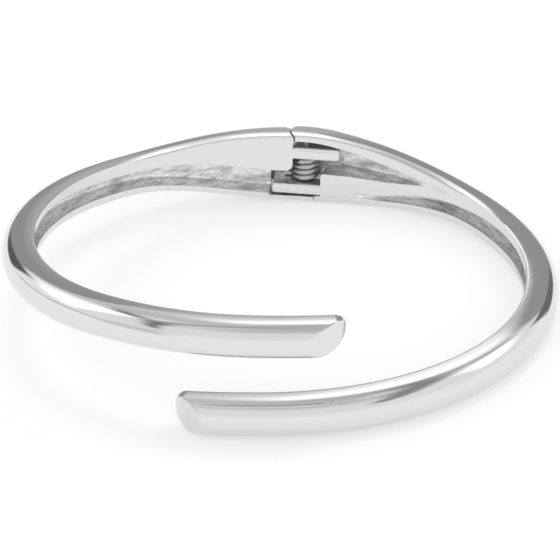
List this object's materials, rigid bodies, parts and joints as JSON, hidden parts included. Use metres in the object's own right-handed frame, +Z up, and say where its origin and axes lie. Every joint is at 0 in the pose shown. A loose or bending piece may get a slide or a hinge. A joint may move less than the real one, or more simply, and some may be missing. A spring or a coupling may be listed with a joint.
{
  "type": "hinged bangle",
  "caption": "Polished hinged bypass bangle: two cast half-hoops on a sprung hinge at the back, with smooth front arms that pass one above the other.",
  "frame": {"origin": "middle of the wrist opening, at the level of the surface that the bangle lies on", "axes": "+Z up off the surface, +Y from the middle of the wrist opening towards the hinge, +X towards the right half's side"},
  "size_m": [0.0676, 0.0597, 0.015],
  "materials": {
    "polished_metal": "polished outside, as cast and rough inside the hollows",
    "spring_steel": "drawn wire, satin"
  },
  "bodies": {
    "right_side": {"right_half": "polished_metal", "torsion_spring": "spring_steel", "hinge_pin": "spring_steel"},
    "left_side": {"left_half": "polished_metal"}
  },
  "joints": [
    {"name": "hinge", "type": "hinge", "parent": "right_side", "child": "left_side", "pos_m": [-0.00005, 0.02766, 0.00485], "axis": [-0.0661, -0.0503, -0.9965], "range_deg": [0, 45], "stiffness_Nm_per_rad": 0.02, "springref_deg": -22.92}
  ]
}
